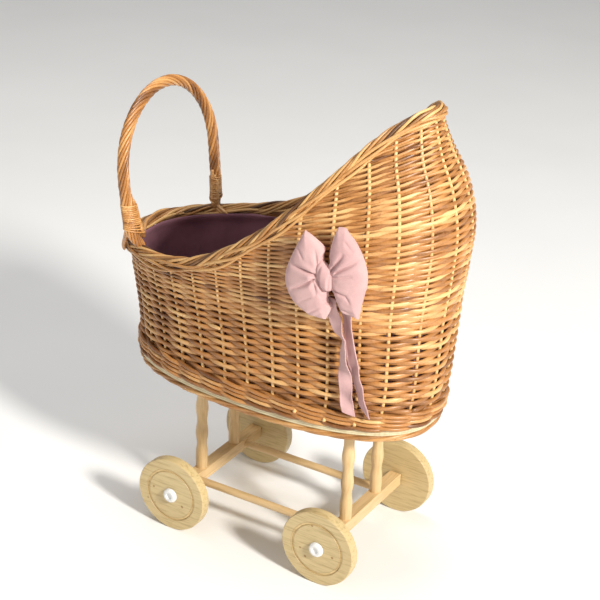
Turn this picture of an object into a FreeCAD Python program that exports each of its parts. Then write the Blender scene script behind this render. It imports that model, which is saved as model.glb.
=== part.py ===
"""Wicker doll stroller: a woven willow basket with a hood on a turned wooden chassis.

Frame: millimetres, +X towards the hood (head end), +Z up, -Y the side with the bow.
Origin: on the floor, at the middle of the wheelbase and of the basket's width.
"""
import FreeCAD, Part
import math
import os

V = FreeCAD.Vector
UP = V(0, 0, 1)
ALONG = V(1, 0, 0)
ACROSS = V(0, 1, 0)

# ---------------------------------------------------------------- chassis sizes
WHEEL_BASE = 218.0
WHEEL_D = 100.0
WHEEL_T = 14.0
WHEEL_FACE_Y = 108.4       # outer face of each wheel
GROOVE_R_IN = 33.0         # turned ring on the wheel's outer face
GROOVE_R_OUT = 36.5
GROOVE_DEPTH = 1.4
GROOVE_SLOPE = 0.6         # each side of the turned ring leans in by this
WHEEL_EDGE = 1.0           # eased edge of a wheel
PIN_R = 3.0                # wheel pin, driven into the beam's end
PIN_END_Y = 111.0
PIN_ROOT_Y = 66.0
RUN_CLEARANCE = 0.05       # radial, wheel on pin
SIDE_PLAY = 0.4            # wheel to washer and wheel to cap
WASHER_R = 7.0
WASHER_T = 1.0
CAP_R = 9.8
CAP_H = 4.6
CAP_EDGE_H = 1.2           # height of the cap's straight skirt, and of its rounding
CAP_SHOULDER = 1.0         # how far the cap steps in at the foot of the rounding
CAP_FLAT_R = 6.8           # flat lip on top, round a dish
CAP_DISH_R = 4.4
CAP_DISH_FLOOR_R = 3.4
CAP_DISH = 1.6
BEAM = 16.5                # square section of a cross beam
BEAM_EDGE = 0.6            # eased long edges
RAIL_D = 10.0
RAIL_Y = 57.0
RAIL_TENON = 6.0
POST_Y = 38.5
POST_TENON_R = 4.0
POST_TENON = 4.5
POST_HEIGHTS = (0, 14, 27, 34.5, 50.5, 70, 89, 105, 122, 150.25)
POST_RADII = (7.4, 7.8, 7.4, 6.5, 8.1, 6.6, 8.2, 6.6, 7.7, 7.4)
SCREW_R = 2.0
SCREW_LENGTH = 30.0
SCREW_HEAD_R = 4.0
SCREW_HEAD = 3.0
SCREW_POINT = 2.0

# ---------------------------------------------------------------- basket sizes
BOARD_BOTTOM = 208.5
BOARD_T = 7.0
BOARD_EDGE = 4.5           # the board stands out past the middle of the weave
WALL_HALF = 5.0            # half the thickness of the weave
WALE_HALF = 6.2
WALE_TOP = 238.0           # thicker rows just above the board
WEAVE_SPLIT = 345.0        # below, level rows; above, the rows that rise into the hood
ROUNDNESS = 2.35           # exponent of the oval plan, 2 is an ellipse
MIDDLE_X = 7.5             # widest place of the oval
BORDER_R = 9.5             # braided border round the mouth and hood
BORDER_GAP = 0.4           # border to the top of the weave
FOOT_BORDER_R = 4.8        # border under the board
FOOT_BORDER_EDGE = 3.0     # rounding of its lower edges
# middle of the weave: height, foot end, head end, half width
PLAN = (
    (200, -210.5, 195.5, 97.5),
    (212, -210.5, 198, 98),
    (262, -212.5, 206.5, 99.5),
    (312, -218.5, 210, 105.5),
    (362, -227, 213.5, 113),
    (412, -231.5, 219, 118.5),
    (462, -235.5, 222, 118.5),
    (512, -238.5, 211, 102.5),
    (552, -240.5, 192, 79),
    (598, -242.5, 177.5, 44),
    (625, -243.5, 173.5, 25),
)
# side view of the mouth: distance along, height of the border's centre
MOUTH = (
    (-264, 362.5),
    (-229.5, 363),
    (-184.5, 367),
    (-108.5, 376.5),
    (-56.5, 395),
    (10.5, 437),
    (66.5, 487),
    (103.5, 527.5),
    (128, 556.5),
    (148.5, 578),
    (166.5, 591.5),
    (178.5, 597),
    (205.5, 604),
)

# ---------------------------------------------------------------- soft goods and handle
LINING_GAP = 1.4           # lining to the inside of the weave
LINING_T = 2.0
LINING_FLOOR = 216.0
LINING_TOP = 371.0         # level hem inside the hood
LINING_UNDER_BORDER = 10.5
MATTRESS_T = 20.0
MATTRESS_GAP = 2.0
MATTRESS_EDGE = 6.0
HANDLE_X = -176.9          # middle of the handle where it meets the border
HANDLE_FOOT_Y = 89.5       # half the spacing of the legs at the border
HANDLE_SPRING_Y = 95.5     # and where the arch starts
HANDLE_R = 7.2
HANDLE_FOOT_Z = 350.0
HANDLE_SPRING_Z = 458.5
HANDLE_TOP_Z = 556.0
HANDLE_LEAN = -0.115        # leans out over the foot end as it rises
HANDLE_REF_Z = 370.0
INSERT_R = 3.0
INSERT_TURN = 63.0         # degrees from +X to the way in from a leg, square to the border
INSERT_BOTTOM_Z = 360.0
INSERT_BOTTOM_IN = 20.0    # insert rod to leg, at the foot inside the border
INSERT_TOP_IN = 10.6       # and at the top, where they meet
INSERT_POINT = 8.0         # length of its pointed end
INSERT_TIP_R = 0.6
BINDING_Z = {"near": (393.0, 431.0, 441.0), "far": (380.0, 411.0, 420.0)}
BINDING_WRAP = 1.5
KNOT = V(117.6, -130.0, 427.0)
BOW_TURN = 13.0            # degrees the bow turns to follow the wall
LOOP_T = 22.0
LOOP_SIZES = {"bow_loop_foot_side": (-25.5, -8.0, 46.0, 102.0, -5.0),
              "bow_loop_head_side": (23.0, 2.0, 42.0, 105.0, -3.0)}
KNOT_SIZE = (13.0, 20.0, 27.0)
TAIL_W = 15.0
TAIL_T = 3.0
# bow tails down the wall: angle round the oval at the top and bottom, bottom height, gap to the weave
TAILS = {"bow_tail_foot_side": (1.075, 0.975, 237.0, 4.8),
         "bow_tail_head_side": (1.02, 0.835, 241.0, 1.2)}
TAIL_TOP_Z = 381.0

AXLE_XS = {"foot": -WHEEL_BASE / 2, "head": WHEEL_BASE / 2}
SIDES = {"near": -1.0, "far": 1.0}
AXLE_Z = WHEEL_D / 2
BEAM_TOP = AXLE_Z + BEAM / 2
WHEEL_INNER_Y = WHEEL_FACE_Y - WHEEL_T
BEAM_END_Y = WHEEL_INNER_Y - SIDE_PLAY - WASHER_T
BOARD_TOP = BOARD_BOTTOM + BOARD_T
HOOD_RING_TOP = 618.0      # the hood is cut from a ring that is taller than it
FLOOR_CLEAR = 150.0        # any height between the wheels' tops and the board
CUTTER_HALF = 200.0        # cutting blocks reach this far either side, past the basket
CUTTER_START = -258.0      # and from here, past the foot end
CUTTER_STEP = 12.0
CUTTER_STEPS = 44


# ---------------------------------------------------------------- helpers
def smooth(table, at, column):
    """Value of one column at a place along a table's first column, by a cubic through its rows."""
    keys = [row[0] for row in table]
    at = min(max(at, keys[0]), keys[-1])
    i = 0
    while i < len(keys) - 2 and at > keys[i + 1]:
        i += 1

    def slope(k):
        low = max(k - 1, 0)
        high = min(k + 1, len(keys) - 1)
        return (table[high][column] - table[low][column]) / (keys[high] - keys[low])

    step = keys[i + 1] - keys[i]
    t = (at - keys[i]) / step
    start = table[i][column]
    end = table[i + 1][column]
    return (start * (1 + 2 * t) * (1 - t) ** 2 + slope(i) * step * t * (1 - t) ** 2
            + end * t * t * (3 - 2 * t) + slope(i + 1) * step * t * t * (t - 1))


def mouth_z(x):
    return smooth(MOUTH, x, 1)


def plan_point(angle, z, out=0.0):
    """Point of the basket's wall; angle 0 is the head end, and out moves it off the weave's middle."""
    foot = smooth(PLAN, z, 1)
    head = smooth(PLAN, z, 2)
    half = smooth(PLAN, z, 3)
    c = math.cos(angle)
    s = math.sin(angle)
    reach = head - MIDDLE_X if c >= 0 else MIDDLE_X - foot
    power = 2 / ROUNDNESS
    x = reach * math.copysign(abs(c) ** power, c)
    y = half * math.copysign(abs(s) ** power, s)
    nx = math.copysign(abs(x / reach) ** (ROUNDNESS - 1) / reach, c)
    ny = math.copysign(abs(y / half) ** (ROUNDNESS - 1) / half, s)
    length = math.hypot(nx, ny)
    return V(MIDDLE_X + x + out * nx / length, y + out * ny / length, z)


def mouth_point(angle):
    """Point of the border's centre line at an angle round the basket."""
    z = mouth_z(plan_point(angle, 400.0).x)
    for _ in range(60):
        z = 0.5 * z + 0.5 * mouth_z(plan_point(angle, z).x)
    return plan_point(angle, z)


def closed_curve(points):
    curve = Part.BSplineCurve()
    curve.interpolate(Points=points, PeriodicFlag=True)
    return Part.Wire([curve.toShape()])


def oval_wire(z, out, count=40):
    return closed_curve([plan_point(2 * math.pi * (k + 0.5) / count, z, out) for k in range(count)])


def oval_loft(low, high, out, step=24.0):
    """Solid inside the wall surface between two heights, grown by out."""
    rings = max(2, int(math.ceil((high - low) / step)) + 1)
    heights = [low + (high - low) * k / (rings - 1) for k in range(rings)]
    return Part.makeLoft([oval_wire(z, out) for z in heights], True, False)


def ring(low, high, half):
    """Band of weave between two heights."""
    return oval_loft(low, high, half).cut(oval_loft(low - 1.0, high + 1.0, -half))


def below_mouth(low, drop):
    """Block under the mouth's side-view line, the line moved square to itself by drop."""
    top = []
    for k in range(CUTTER_STEPS):
        x = CUTTER_START + CUTTER_STEP * k
        steepness = math.atan((mouth_z(x + 2) - mouth_z(x - 2)) / 4)
        moved = mouth_z(x) - drop * math.cos(steepness)
        top.append(V(x + drop * math.sin(steepness), -CUTTER_HALF, moved))
    line = Part.BSplineCurve()
    line.interpolate(Points=top)
    corners = [top[-1], V(top[-1].x, -CUTTER_HALF, low), V(top[0].x, -CUTTER_HALF, low), top[0]]
    edges = [line.toShape()]
    edges += [Part.makeLine(corners[k], corners[k + 1]) for k in range(3)]
    return Part.Face(Part.Wire(edges)).extrude(V(0, 2 * CUTTER_HALF, 0))


def rod(start, end, radius):
    return Part.makeCylinder(radius, (end - start).Length, start, end - start)


def revolve_profile(points, centre, axis, turn_from):
    """Solid of revolution from a closed profile given as (radius, along) pairs."""
    corners = [centre + turn_from * r + axis * a for r, a in points]
    wire = Part.makePolygon(corners + [corners[0]])
    return Part.Face(wire).revolve(centre, axis, 360)


def ellipsoid(centre, sizes, turn):
    """Ellipsoid with full sizes along its own axes, turned about Z."""
    ball = Part.makeSphere(1.0)
    matrix = FreeCAD.Matrix()
    matrix.scale(sizes[0] / 2, sizes[1] / 2, sizes[2] / 2)
    shape = ball.transformGeometry(matrix)
    shape.rotate(V(0, 0, 0), UP, turn)
    shape.translate(centre)
    return shape


# ---------------------------------------------------------------- chassis
def wheel(x, side):
    outer = WHEEL_FACE_Y
    r = WHEEL_D / 2
    bore = PIN_R + RUN_CLEARANCE
    profile = [
        (bore, WHEEL_INNER_Y), (r - WHEEL_EDGE, WHEEL_INNER_Y), (r, WHEEL_INNER_Y + WHEEL_EDGE),
        (r, outer - WHEEL_EDGE), (r - WHEEL_EDGE, outer), (GROOVE_R_OUT, outer),
        (GROOVE_R_OUT - GROOVE_SLOPE, outer - GROOVE_DEPTH),
        (GROOVE_R_IN + GROOVE_SLOPE, outer - GROOVE_DEPTH),
        (GROOVE_R_IN, outer), (bore, outer),
    ]
    return revolve_profile(profile, V(x, 0, AXLE_Z), ACROSS * side, UP)


def hub_cap(x, side):
    """Domed cap with a dished middle, pressed on the pin's end."""
    base = WHEEL_FACE_Y + SIDE_PLAY
    top = base + CAP_H
    profile = [
        (PIN_R, base), (CAP_R, base), (CAP_R, base + CAP_EDGE_H),
        (CAP_R - CAP_SHOULDER, top - CAP_EDGE_H), (CAP_FLAT_R, top), (CAP_DISH_R, top),
        (CAP_DISH_FLOOR_R, top - CAP_DISH), (0, top - CAP_DISH), (0, PIN_END_Y), (PIN_R, PIN_END_Y),
    ]
    return revolve_profile(profile, V(x, 0, AXLE_Z), ACROSS * side, UP)


def wheel_pin(x, side):
    return rod(V(x, side * PIN_ROOT_Y, AXLE_Z), V(x, side * PIN_END_Y, AXLE_Z), PIN_R)


def washer(x, side):
    start = V(x, side * BEAM_END_Y, AXLE_Z)
    end = V(x, side * (BEAM_END_Y + WASHER_T), AXLE_Z)
    return rod(start, end, WASHER_R).cut(rod(start, end, PIN_R))


def rail(side):
    reach = WHEEL_BASE / 2 - BEAM / 2 + RAIL_TENON
    return rod(V(-reach, side * RAIL_Y, AXLE_Z), V(reach, side * RAIL_Y, AXLE_Z), RAIL_D / 2)


def post(x, side):
    """Turned post: a beaded outline between a plain foot and a plain top, with a tenon below."""
    outline = [V(radius, 0, BEAM_TOP + height) for height, radius in zip(POST_HEIGHTS, POST_RADII)]
    curve = Part.BSplineCurve()
    curve.interpolate(Points=outline)
    top = outline[-1]
    corners = [top, V(0, 0, top.z), V(0, 0, BEAM_TOP - POST_TENON),
               V(POST_TENON_R, 0, BEAM_TOP - POST_TENON), V(POST_TENON_R, 0, BEAM_TOP), outline[0]]
    edges = [curve.toShape()]
    edges += [Part.makeLine(corners[k], corners[k + 1]) for k in range(5)]
    body = Part.Face(Part.Wire(edges)).revolve(V(0, 0, 0), UP, 360)
    body.translate(V(x, side * POST_Y, 0))
    return body


def post_screw(x, side):
    """Countersunk screw down through the board into a post."""
    centre = V(x, side * POST_Y, 0)
    profile = [(0, BOARD_TOP - SCREW_LENGTH), (SCREW_R, BOARD_TOP - SCREW_LENGTH + SCREW_POINT),
               (SCREW_R, BOARD_TOP - SCREW_HEAD), (SCREW_HEAD_R, BOARD_TOP), (0, BOARD_TOP)]
    return revolve_profile(profile, centre, UP, ALONG)


def beam(x):
    half = BEAM / 2
    block = Part.makeBox(BEAM, 2 * BEAM_END_Y, BEAM, V(x - half, -BEAM_END_Y, AXLE_Z - half))
    long_edges = [e for e in block.Edges if abs(e.tangentAt(e.FirstParameter).y) > 0.9]
    return block.makeChamfer(BEAM_EDGE, long_edges)


# ---------------------------------------------------------------- basket
def base_board():
    return oval_loft(BOARD_BOTTOM, BOARD_TOP, BOARD_EDGE)


def foot_border():
    """Rolled border under the edge of the board."""
    z = BOARD_BOTTOM - FOOT_BORDER_R
    outer = oval_loft(z - FOOT_BORDER_R, BOARD_BOTTOM, FOOT_BORDER_R, 100)
    inner = oval_loft(z - FOOT_BORDER_R - 1, BOARD_BOTTOM + 1, -FOOT_BORDER_R, 100)
    band = outer.cut(inner)
    lower = [e for e in band.Edges if e.BoundBox.ZMax < z - FOOT_BORDER_R + 0.01]
    return band.makeFillet(FOOT_BORDER_EDGE, lower)


def rim_border():
    """Round border swept round the mouth and over the hood, near half then its mirror image."""
    count = 48
    points = [mouth_point(2 * math.pi * k / count - math.pi) for k in range(count)]
    points[0].y = 0
    points[count // 2].y = 0
    curve = Part.BSplineCurve()
    curve.interpolate(Points=points, PeriodicFlag=True)
    tip = (curve.FirstParameter + curve.LastParameter) / 2
    path = Part.Wire([curve.toShape(curve.FirstParameter, tip)])
    section = Part.Wire([Part.makeCircle(BORDER_R, points[0], V(0, -1, 0))])
    half = path.makePipeShell([section], True, False)
    return half.fuse(half.mirror(V(0, 0, 0), ACROSS)).removeSplitter()


def lining():
    """Fabric lining: a side sleeve and a floor, under the border and level inside the hood."""
    outer = WALL_HALF + LINING_GAP
    inner = outer + LINING_T
    cup = oval_loft(LINING_FLOOR, LINING_TOP, -outer)
    cup = cup.cut(oval_loft(LINING_FLOOR + LINING_T, LINING_TOP + 1.0, -inner))
    return cup.common(below_mouth(FLOOR_CLEAR, LINING_UNDER_BORDER))


def mattress():
    out = -(WALL_HALF + LINING_GAP + LINING_T + MATTRESS_GAP)
    bottom = LINING_FLOOR + LINING_T
    block = oval_loft(bottom, bottom + MATTRESS_T, out, 100)
    rims = [e for e in block.Edges if e.BoundBox.ZLength < 0.01]
    return block.makeFillet(MATTRESS_EDGE, rims)


# ---------------------------------------------------------------- handle
def handle_x(z):
    return HANDLE_X + HANDLE_LEAN * (z - HANDLE_REF_Z)


def leg_y(z):
    """Half the spacing of the legs: they spread a little on the way up."""
    share = min(1.0, (z - HANDLE_FOOT_Z) / (HANDLE_SPRING_Z - HANDLE_FOOT_Z))
    return HANDLE_FOOT_Y + (HANDLE_SPRING_Y - HANDLE_FOOT_Y) * math.sin(share * math.pi / 2)


def handle():
    """Two legs and a half ellipse between them, in one leaning plane."""
    rise = HANDLE_SPRING_Z - HANDLE_FOOT_Z
    leg = [(-leg_y(HANDLE_FOOT_Z + rise * k / 4), HANDLE_FOOT_Z + rise * k / 4) for k in range(4)]
    arch = []
    for k in range(19):
        angle = math.pi * k / 18
        z = HANDLE_SPRING_Z + (HANDLE_TOP_Z - HANDLE_SPRING_Z) * math.sin(angle)
        arch.append((-HANDLE_SPRING_Y * math.cos(angle), z))
    route = leg + arch + [(-y, z) for y, z in reversed(leg)]
    curve = Part.BSplineCurve()
    curve.interpolate(Points=[V(handle_x(z), y, z) for y, z in route])
    start = curve.value(curve.FirstParameter)
    section = Part.Wire([Part.makeCircle(HANDLE_R, start, curve.tangent(curve.FirstParameter)[0])])
    return Part.Wire([curve.toShape()]).makePipeShell([section], True, False)


def inward(side):
    turn = math.radians(INSERT_TURN)
    return V(math.cos(turn), -side * math.sin(turn), 0)


def leg_point(side, z, inside=0.0):
    return V(handle_x(z), side * leg_y(z), z) + inward(side) * inside


def insert_gap(z, top):
    """How far the insert stands in from the leg at a height."""
    share = (z - INSERT_BOTTOM_Z) / (top - INSERT_BOTTOM_Z)
    return INSERT_BOTTOM_IN + (INSERT_TOP_IN - INSERT_BOTTOM_IN) * share


def handle_insert(side, top):
    """Pointed rod that comes up inside the border and meets the leg above it."""
    start = leg_point(side, INSERT_BOTTOM_Z, INSERT_BOTTOM_IN)
    end = leg_point(side, top, INSERT_TOP_IN)
    axis = (end - start).normalize()
    point = Part.makeCone(INSERT_R, INSERT_TIP_R, INSERT_POINT, end, axis)
    return rod(start, end, INSERT_R).fuse(point).removeSplitter()


def handle_binding(side, low, high, top):
    """Wrapped split willow round a leg and its insert, wider at the bottom."""
    wires = []
    across_half = HANDLE_R + BINDING_WRAP
    for z in (low, (low + high) / 2, high):
        gap = insert_gap(z, top)
        reach = (HANDLE_R + gap + INSERT_R) / 2 + BINDING_WRAP
        centre = leg_point(side, z, (gap + INSERT_R - HANDLE_R) / 2)
        along = inward(side) * reach
        square = V(-inward(side).y, inward(side).x, 0) * across_half
        oval = Part.Ellipse(centre + along, centre + square, centre)
        wires.append(Part.Wire([oval.toShape()]))
    return Part.makeLoft(wires, True, False)


# ---------------------------------------------------------------- bow
def bow_axes():
    turn = math.radians(BOW_TURN)
    return V(math.cos(turn), math.sin(turn), 0), V(math.sin(turn), -math.cos(turn), 0)


def bow_loop(sizes):
    along, up, width, height, out = sizes
    tangent, outward = bow_axes()
    centre = KNOT + tangent * along + UP * up + outward * out
    return ellipsoid(centre, (width, LOOP_T, height), BOW_TURN)


def bow_tail(top_angle, bottom_angle, bottom_z, gap):
    """Flat ribbon that hangs against the wall."""
    wires = []
    for k in range(8):
        t = k / 7
        z = TAIL_TOP_Z + (bottom_z - TAIL_TOP_Z) * t
        angle = -(top_angle + (bottom_angle - top_angle) * t)
        inner = plan_point(angle, z, WALL_HALF + gap)
        outer = plan_point(angle, z, WALL_HALF + gap + TAIL_T)
        outward = (outer - inner).normalize()
        sideways = V(-outward.y, outward.x, 0) * (TAIL_W / 2)
        corners = [inner - sideways, inner + sideways, outer + sideways, outer - sideways]
        wires.append(Part.makePolygon(corners + [corners[0]]))
    return Part.makeLoft(wires, True, False)


# ---------------------------------------------------------------- assembly
def build():
    parts = {}
    for end, x in AXLE_XS.items():
        parts[end + "_beam"] = beam(x)
        for name, side in SIDES.items():
            place = "_" + end + "_" + name
            parts["post" + place] = post(x, side)
            parts["wheel" + place] = wheel(x, side)
            parts["hub_cap" + place] = hub_cap(x, side)
            parts["wheel_pin" + place] = wheel_pin(x, side)
    corners = [(x, side) for x in AXLE_XS.values() for side in SIDES.values()]
    parts["axle_washers"] = Part.makeCompound([washer(x, side) for x, side in corners])
    parts["post_screws"] = Part.makeCompound([post_screw(x, side) for x, side in corners])
    for name, side in SIDES.items():
        parts["rail_" + name] = rail(side)

    parts["base_board"] = base_board()
    parts["foot_border"] = foot_border()
    parts["bottom_wale"] = ring(BOARD_TOP, WALE_TOP, WALE_HALF)
    parts["lower_weave"] = ring(WALE_TOP, WEAVE_SPLIT, WALL_HALF)
    parts["rim_border"] = rim_border()
    hood = ring(WEAVE_SPLIT, HOOD_RING_TOP, WALL_HALF)
    parts["hood_weave"] = hood.common(below_mouth(FLOOR_CLEAR, BORDER_R + BORDER_GAP))
    parts["lining"] = lining()
    parts["mattress"] = mattress()

    parts["handle"] = handle()
    for name, side in SIDES.items():
        low, high, top = BINDING_Z[name]
        insert = handle_insert(side, top)
        parts["handle_insert_" + name] = insert
        binding = handle_binding(side, low, high, top)
        parts["handle_binding_" + name] = binding.cut(parts["handle"]).cut(insert)

    knot = ellipsoid(KNOT, KNOT_SIZE, BOW_TURN)
    parts["bow_knot"] = knot
    for name, sizes in LOOP_SIZES.items():
        parts[name] = bow_loop(sizes).cut(knot)
    for name, hang in TAILS.items():
        parts[name] = bow_tail(*hang)

    # sockets, tenon holes and screw holes
    for end, x in AXLE_XS.items():
        node = end + "_beam"
        for name in SIDES:
            place = "_" + end + "_" + name
            parts[node] = parts[node].cut(parts["wheel_pin" + place]).cut(parts["post" + place])
            parts[node] = parts[node].cut(parts["rail_" + name])
            parts["post" + place] = parts["post" + place].cut(parts["post_screws"])
    parts["base_board"] = parts["base_board"].cut(parts["post_screws"])
    for name in SIDES:
        parts["rim_border"] = parts["rim_border"].cut(parts["handle_insert_" + name])
    parts["rim_border"] = parts["rim_border"].cut(parts["handle"])
    parts["hood_weave"] = parts["hood_weave"].cut(parts["handle"])
    return parts


def main():
    os.makedirs("parts", exist_ok=True)
    parts = build()
    for node, shape in parts.items():
        pieces = shape.Solids
        shape = pieces[0] if len(pieces) == 1 else Part.makeCompound(pieces)
        shape.exportStep("parts/" + node + ".step")
        print(node, "solids", len(pieces), "valid", shape.isValid(), "mm3", round(shape.Volume, 1))


main()
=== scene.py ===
"""Looks of the wicker doll pram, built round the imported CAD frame. Lengths below are millimetres."""
import bpy
import math
import numpy as np
from mathutils import Matrix, Vector


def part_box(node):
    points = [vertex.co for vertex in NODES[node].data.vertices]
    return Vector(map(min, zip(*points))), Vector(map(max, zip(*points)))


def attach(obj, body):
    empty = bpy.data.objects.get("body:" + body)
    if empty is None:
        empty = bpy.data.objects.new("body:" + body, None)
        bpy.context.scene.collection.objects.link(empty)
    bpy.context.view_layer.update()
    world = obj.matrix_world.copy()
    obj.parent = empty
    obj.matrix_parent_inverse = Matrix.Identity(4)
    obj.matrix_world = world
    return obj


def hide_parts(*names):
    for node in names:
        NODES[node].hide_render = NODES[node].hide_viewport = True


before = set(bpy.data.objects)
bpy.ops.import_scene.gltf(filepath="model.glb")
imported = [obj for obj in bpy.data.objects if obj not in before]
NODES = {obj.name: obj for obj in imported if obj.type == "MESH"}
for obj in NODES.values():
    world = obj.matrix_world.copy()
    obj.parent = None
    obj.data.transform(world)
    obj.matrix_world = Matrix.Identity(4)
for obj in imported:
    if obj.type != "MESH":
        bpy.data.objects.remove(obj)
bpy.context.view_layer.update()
ROOT = "frame_and_basket"
MM = 0.001
TURN = 2 * math.pi
rng = np.random.default_rng(7)

# ---------------------------------------------------------------- the basket's form, as in the CAD source
# plan of the wall's middle: height, foot end, head end, half width
ROUNDNESS = 2.35
MIDDLE_X = 7.5
WALL_HALF = 5.0
BOARD_BOTTOM = 208.5
BOARD_TOP = 215.5
WALE_TOP = 238.0
WEAVE_SPLIT = 345.0
FOOT_BORDER_Z = 203.7
PLAN = np.array([
    (200, -210.5, 195.5, 97.5),
    (212, -210.5, 198, 98),
    (262, -212.5, 206.5, 99.5),
    (312, -218.5, 210, 105.5),
    (362, -227, 213.5, 113),
    (412, -231.5, 219, 118.5),
    (462, -235.5, 222, 118.5),
    (512, -238.5, 211, 102.5),
    (552, -240.5, 192, 79),
    (598, -242.5, 177.5, 44),
    (625, -243.5, 173.5, 25),
])
# side view of the border's centre line: place along the basket, height
MOUTH = np.array([
    (-264, 362.5),
    (-229.5, 363),
    (-184.5, 367),
    (-108.5, 376.5),
    (-56.5, 395),
    (10.5, 437),
    (66.5, 487),
    (103.5, 527.5),
    (128, 556.5),
    (148.5, 578),
    (166.5, 591.5),
    (178.5, 597),
    (205.5, 604),
])
LINING_TOP = 371.0
LINING_FLOOR = 216.0
MATTRESS_BOTTOM = 218.0
MATTRESS_T = 20.0
HANDLE_X = -176.9
HANDLE_FOOT_Y = 89.5
HANDLE_SPRING_Y = 95.5
HANDLE_R = 7.2
HANDLE_FOOT_Z = 350.0
HANDLE_SPRING_Z = 458.5
HANDLE_TOP_Z = 556.0
HANDLE_LEAN = -0.115
HANDLE_REF_Z = 370.0
INSERT_R = 3.0
INSERT_TURN = math.radians(63.0)
INSERT_BOTTOM_Z = 360.0
INSERT_BOTTOM_IN = 20.0
INSERT_TOP_IN = 10.6
BINDING_Z = {"near": (393.0, 431.0, 441.0), "far": (380.0, 411.0, 420.0)}
KNOT = np.array([117.6, -130.0, 427.0])
BOW_TURN = math.radians(13.0)

# slope of the weave's rows along the basket, by their height at its middle
ROW_SLOPE = np.array([
    (215, 0.0), (238, 0.0), (290, 0.015), (345, 0.05), (385, 0.11),
    (425, 0.2), (455, 0.33), (485, 0.46), (520, 0.56),
])
# rise from one row to the next, by their height at the basket's middle: coarse below, finer in the hood
ROW_PITCH = np.array([
    (238, 5.5), (290, 5.1), (345, 4.1), (368, 2.9), (425, 2.4), (455, 2.05), (520, 1.9),
])


def smooth(table, at, column):
    """Value of one column at places along a table's first column, by a cubic through its rows."""
    keys = table[:, 0]
    values = table[:, column]
    last = len(keys) - 1
    at = np.clip(at, keys[0], keys[-1])
    i = np.clip(np.searchsorted(keys, at, side="left") - 1, 0, last - 1)
    low = np.maximum(np.arange(last + 1) - 1, 0)
    high = np.minimum(np.arange(last + 1) + 1, last)
    slopes = (values[high] - values[low]) / (keys[high] - keys[low])
    step = keys[i + 1] - keys[i]
    t = (at - keys[i]) / step
    return (values[i] * (1 + 2 * t) * (1 - t) ** 2 + slopes[i] * step * t * (1 - t) ** 2
            + values[i + 1] * t * t * (3 - 2 * t) + slopes[i + 1] * step * t * t * (t - 1))


def steps(line, closed=False):
    """Lengths of the steps along a line of points, with the one back to its start when closed."""
    return np.linalg.norm(np.roll(line, -1, 0) - line, axis=1)[:len(line) - (not closed)]


def distance_along(line):
    return np.concatenate([[0], np.cumsum(steps(line))])


def mouth_z(x):
    return smooth(MOUTH, x, 1)


def plan_normal(angle, z):
    """Points of the wall's middle surface and its level outward normals."""
    angle, z = np.broadcast_arrays(np.asarray(angle, float), np.asarray(z, float))
    foot = smooth(PLAN, z, 1)
    head = smooth(PLAN, z, 2)
    half = smooth(PLAN, z, 3)
    c = np.cos(angle)
    s = np.sin(angle)
    reach = np.where(c >= 0, head - MIDDLE_X, MIDDLE_X - foot)
    power = 2 / ROUNDNESS
    x = reach * np.sign(c) * np.abs(c) ** power
    y = half * np.sign(s) * np.abs(s) ** power
    nx = np.sign(c) * np.abs(x / reach) ** (ROUNDNESS - 1) / reach
    ny = np.sign(s) * np.abs(y / half) ** (ROUNDNESS - 1) / half
    length = np.hypot(nx, ny)
    zero = np.zeros_like(x)
    return np.stack([MIDDLE_X + x, y, z], -1), np.stack([nx / length, ny / length, zero], -1)


def plan_point(angle, z, out=0.0):
    point, normal = plan_normal(angle, z)
    return point + normal * np.asarray(out)[..., None]


def mouth_height(angle):
    """Height of the border's centre line at angles round the basket."""
    angle = np.asarray(angle, float)
    z = mouth_z(plan_point(angle, 400.0)[..., 0])
    for _ in range(60):
        z = 0.5 * z + 0.5 * mouth_z(plan_point(angle, z)[..., 0])
    return z


# angles that are evenly spaced along the wall, and the count of stakes passed
STAKES = 30
FIRST_STAKE = 0.59
fine_angles = np.linspace(0, TURN, 4001)
fine_along = distance_along(plan_point(fine_angles, WEAVE_SPLIT))
WALL_ROUND = fine_along[-1]


def angle_at(count):
    """Angle of a place given as stakes passed, which may run past a full turn."""
    turns = (np.asarray(count, float) + FIRST_STAKE) / STAKES
    whole = np.floor(turns)
    return np.interp((turns - whole) * WALL_ROUND, fine_along, fine_angles) + whole * TURN


# ---------------------------------------------------------------- meshes
def unit(vectors):
    return vectors / np.maximum(np.linalg.norm(vectors, axis=-1, keepdims=True), 1e-9)


def make_object(name, points, faces, tones=None):
    """A mesh from points in millimetres and four-cornered faces, with a tone for each point."""
    mesh = bpy.data.meshes.new(name)
    points = np.asarray(points, float)
    faces = np.asarray(faces, np.int32)
    mesh.vertices.add(len(points))
    mesh.vertices.foreach_set("co", (points * MM).astype(np.float32).ravel())
    mesh.loops.add(faces.size)
    mesh.loops.foreach_set("vertex_index", faces.ravel())
    mesh.polygons.add(len(faces))
    mesh.polygons.foreach_set("loop_start", np.arange(0, faces.size, 4, dtype=np.int32))
    mesh.update(calc_edges=True)
    mesh.validate()
    mesh.polygons.foreach_set("use_smooth", np.ones(len(mesh.polygons), bool))
    if tones is not None:
        layer = mesh.attributes.new("tone", "FLOAT", "POINT")
        layer.data.foreach_set("value", np.asarray(tones, np.float32))
    made = bpy.data.objects.new(name, mesh)
    bpy.context.scene.collection.objects.link(made)
    return made


def dress(made, material, body=ROOT):
    made.data.materials.append(material)
    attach(made, body)
    return made


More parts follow.
